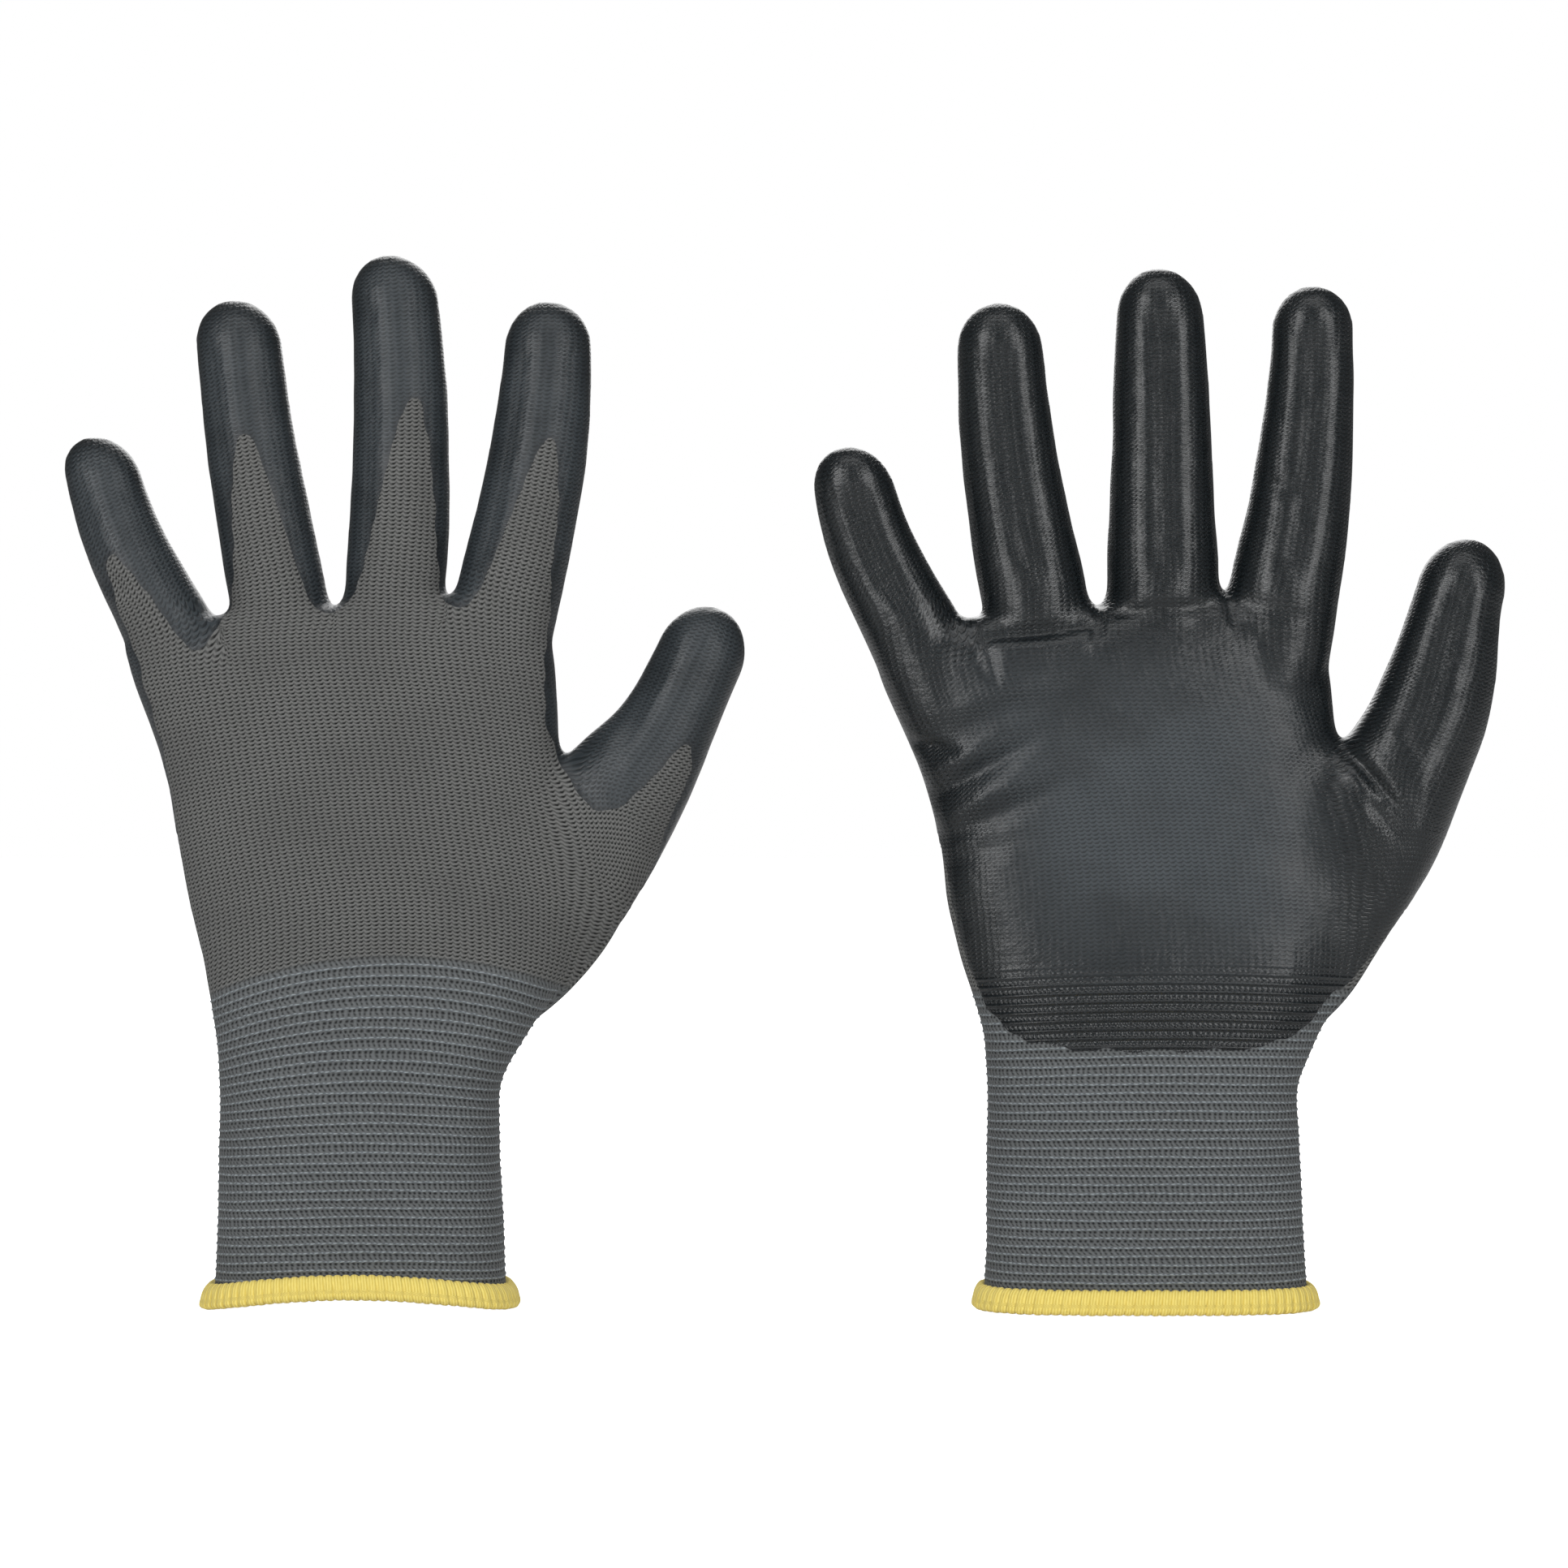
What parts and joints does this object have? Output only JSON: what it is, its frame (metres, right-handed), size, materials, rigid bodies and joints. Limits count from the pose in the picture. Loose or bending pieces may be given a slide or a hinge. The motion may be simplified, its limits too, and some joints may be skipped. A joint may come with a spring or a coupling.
{
  "type": "work gloves",
  "caption": "Pair of seamless knitted work gloves with a dipped grip coating on palm and fingertips, an elastic cuff and an overlocked hem; every finger and thumb bends.",
  "frame": {"origin": "middle of the left glove's hand opening, level with the bottom of its hem", "axes": "+X across the hands towards the thumbs, and from the left glove to the right one; +Y out of the left glove's palm and into the right glove's palm; +Z from the hem to the fingertips"},
  "size_m": [0.3298, 0.0434, 0.2409],
  "materials": {
    "knit": "matte knit",
    "nitrile": "satin, slightly glossy",
    "elastic": "matte yarn",
    "hem_thread": "matte thread"
  },
  "bodies": {
    "left_hand": {"left_palm_liner": "knit", "left_palm_coating": "nitrile", "left_cuff_elastic": "elastic", "left_hem": "hem_thread", "left_root_folds": "nitrile"},
    "left_index_base": {"left_index_base_liner": "knit", "left_index_base_coating": "nitrile", "left_index_mid_fold": "nitrile"},
    "left_index_tip": {"left_index_tip_liner": "knit", "left_index_tip_coating": "nitrile"},
    "left_middle_base": {"left_middle_base_liner": "knit", "left_middle_base_coating": "nitrile", "left_middle_mid_fold": "nitrile"},
    "left_middle_tip": {"left_middle_tip_liner": "knit", "left_middle_tip_coating": "nitrile"},
    "left_ring_base": {"left_ring_base_liner": "knit", "left_ring_base_coating": "nitrile", "left_ring_mid_fold": "nitrile"},
    "left_ring_tip": {"left_ring_tip_liner": "knit", "left_ring_tip_coating": "nitrile"},
    "left_little_base": {"left_little_base_liner": "knit", "left_little_base_coating": "nitrile", "left_little_mid_fold": "nitrile"},
    "left_little_tip": {"left_little_tip_liner": "knit", "left_little_tip_coating": "nitrile"},
    "left_thumb_base": {"left_thumb_base_liner": "knit", "left_thumb_base_coating": "nitrile", "left_thumb_mid_fold": "nitrile"},
    "left_thumb_tip": {"left_thumb_tip_liner": "knit", "left_thumb_tip_coating": "nitrile"},
    "right_hand": {"right_palm_liner": "knit", "right_palm_coating": "nitrile", "right_cuff_elastic": "elastic", "right_hem": "hem_thread", "right_root_folds": "nitrile"},
    "right_index_base": {"right_index_base_liner": "knit", "right_index_base_coating": "nitrile", "right_index_mid_fold": "nitrile"},
    "right_index_tip": {"right_index_tip_liner": "knit", "right_index_tip_coating": "nitrile"},
    "right_middle_base": {"right_middle_base_liner": "knit", "right_middle_base_coating": "nitrile", "right_middle_mid_fold": "nitrile"},
    "right_middle_tip": {"right_middle_tip_liner": "knit", "right_middle_tip_coating": "nitrile"},
    "right_ring_base": {"right_ring_base_liner": "knit", "right_ring_base_coating": "nitrile", "right_ring_mid_fold": "nitrile"},
    "right_ring_tip": {"right_ring_tip_liner": "knit", "right_ring_tip_coating": "nitrile"},
    "right_little_base": {"right_little_base_liner": "knit", "right_little_base_coating": "nitrile", "right_little_mid_fold": "nitrile"},
    "right_little_tip": {"right_little_tip_liner": "knit", "right_little_tip_coating": "nitrile"},
    "right_thumb_base": {"right_thumb_base_liner": "knit", "right_thumb_base_coating": "nitrile", "right_thumb_mid_fold": "nitrile"},
    "right_thumb_tip": {"right_thumb_tip_liner": "knit", "right_thumb_tip_coating": "nitrile"}
  },
  "joints": [
    {"name": "left_index_base", "type": "hinge", "parent": "left_hand", "child": "left_index_base", "pos_m": [0.03646, 0.00285, 0.174], "axis": [-1, 0, 0], "range_deg": [-10, 65], "stiffness_Nm_per_rad": 0.02, "deforming": ["left_root_folds"]},
    {"name": "left_index_tip", "type": "hinge", "parent": "left_index_base", "child": "left_index_tip", "pos_m": [0.04059, 0.00357, 0.1945], "axis": [-1, 0, 0], "range_deg": [-5, 80], "stiffness_Nm_per_rad": 0.02, "deforming": ["left_index_mid_fold"]},
    {"name": "left_middle_base", "type": "hinge", "parent": "left_hand", "child": "left_middle_base", "pos_m": [0.00874, 0.00284, 0.174], "axis": [-1, 0, 0], "range_deg": [-10, 65], "stiffness_Nm_per_rad": 0.02, "deforming": ["left_root_folds"]},
    {"name": "left_middle_tip", "type": "hinge", "parent": "left_middle_base", "child": "left_middle_tip", "pos_m": [0.00962, 0.00349, 0.1975], "axis": [-1, 0, 0], "range_deg": [-5, 80], "stiffness_Nm_per_rad": 0.02, "deforming": ["left_middle_mid_fold"]},
    {"name": "left_ring_base", "type": "hinge", "parent": "left_hand", "child": "left_ring_base", "pos_m": [-0.02063, 0.00285, 0.174], "axis": [-1, 0, 0], "range_deg": [-10, 65], "stiffness_Nm_per_rad": 0.02, "deforming": ["left_root_folds"]},
    {"name": "left_ring_tip", "type": "hinge", "parent": "left_ring_base", "child": "left_ring_tip", "pos_m": [-0.02424, 0.00356, 0.1945], "axis": [-1, 0, 0], "range_deg": [-5, 80], "stiffness_Nm_per_rad": 0.02, "deforming": ["left_ring_mid_fold"]},
    {"name": "left_little_base", "type": "hinge", "parent": "left_hand", "child": "left_little_base", "pos_m": [-0.04948, 0.00291, 0.1665], "axis": [-1, 0, 0], "range_deg": [-10, 65], "stiffness_Nm_per_rad": 0.02, "deforming": ["left_root_folds"]},
    {"name": "left_little_tip", "type": "hinge", "parent": "left_little_base", "child": "left_little_tip", "pos_m": [-0.05656, 0.00428, 0.1835], "axis": [-1, 0, 0], "range_deg": [-5, 80], "stiffness_Nm_per_rad": 0.02, "deforming": ["left_little_mid_fold"]},
    {"name": "left_thumb_base", "type": "hinge", "parent": "left_hand", "child": "left_thumb_base", "pos_m": [0.046, 0, 0.127], "axis": [-0.3539, 0, 0.9353], "range_deg": [-5, 25], "stiffness_Nm_per_rad": 0.02, "deforming": ["left_root_folds"]},
    {"name": "left_thumb_tip", "type": "hinge", "parent": "left_thumb_base", "child": "left_thumb_tip", "pos_m": [0.06882, 0.00453, 0.1375], "axis": [-0.6981, -0.6428, 0.3154], "range_deg": [-5, 35], "stiffness_Nm_per_rad": 0.02, "deforming": ["left_thumb_mid_fold"]},
    {"name": "pair_slide", "type": "slide", "parent": "left_hand", "child": "right_hand", "axis": [1, 0, 0], "range_m": [0, 0.12]},
    {"name": "right_index_base", "type": "hinge", "parent": "right_hand", "child": "right_index_base", "pos_m": [0.21284, -0.00285, 0.1745], "axis": [1, 0, 0], "range_deg": [-10, 65], "stiffness_Nm_per_rad": 0.02, "deforming": ["right_root_folds"]},
    {"name": "right_index_tip", "type": "hinge", "parent": "right_index_base", "child": "right_index_tip", "pos_m": [0.21558, -0.00356, 0.1955], "axis": [1, 0, 0], "range_deg": [-5, 80], "stiffness_Nm_per_rad": 0.02, "deforming": ["right_index_mid_fold"]},
    {"name": "right_middle_base", "type": "hinge", "parent": "right_hand", "child": "right_middle_base", "pos_m": [0.18329, -0.00286, 0.1755], "axis": [1, 0, 0], "range_deg": [-10, 65], "stiffness_Nm_per_rad": 0.02, "deforming": ["right_root_folds"]},
    {"name": "right_middle_tip", "type": "hinge", "parent": "right_middle_base", "child": "right_middle_tip", "pos_m": [0.18311, -0.00357, 0.1975], "axis": [1, 0, 0], "range_deg": [-5, 80], "stiffness_Nm_per_rad": 0.02, "deforming": ["right_middle_mid_fold"]},
    {"name": "right_ring_base", "type": "hinge", "parent": "right_hand", "child": "right_ring_base", "pos_m": [0.15205, -0.00284, 0.173], "axis": [1, 0, 0], "range_deg": [-10, 65], "stiffness_Nm_per_rad": 0.02, "deforming": ["right_root_folds"]},
    {"name": "right_ring_tip", "type": "hinge", "parent": "right_ring_base", "child": "right_ring_tip", "pos_m": [0.14865, -0.00357, 0.194], "axis": [1, 0, 0], "range_deg": [-5, 80], "stiffness_Nm_per_rad": 0.02, "deforming": ["right_ring_mid_fold"]},
    {"name": "right_little_base", "type": "hinge", "parent": "right_hand", "child": "right_little_base", "pos_m": [0.12049, -0.0029, 0.1655], "axis": [1, 0, 0], "range_deg": [-10, 65], "stiffness_Nm_per_rad": 0.02, "deforming": ["right_root_folds"]},
    {"name": "right_little_tip", "type": "hinge", "parent": "right_little_base", "child": "right_little_tip", "pos_m": [0.1141, -0.00425, 0.1815], "axis": [1, 0, 0], "range_deg": [-5, 80], "stiffness_Nm_per_rad": 0.02, "deforming": ["right_little_mid_fold"]},
    {"name": "right_thumb_base", "type": "hinge", "parent": "right_hand", "child": "right_thumb_base", "pos_m": [0.2237, 0, 0.1276], "axis": [0.362, 0, -0.9322], "range_deg": [-5, 25], "stiffness_Nm_per_rad": 0.02, "deforming": ["right_root_folds"]},
    {"name": "right_thumb_tip", "type": "hinge", "parent": "right_thumb_base", "child": "right_thumb_tip", "pos_m": [0.24379, -0.00453, 0.1473], "axis": [0.7347, -0.6428, -0.2167], "range_deg": [-5, 35], "stiffness_Nm_per_rad": 0.02, "deforming": ["right_thumb_mid_fold"]}
  ]
}
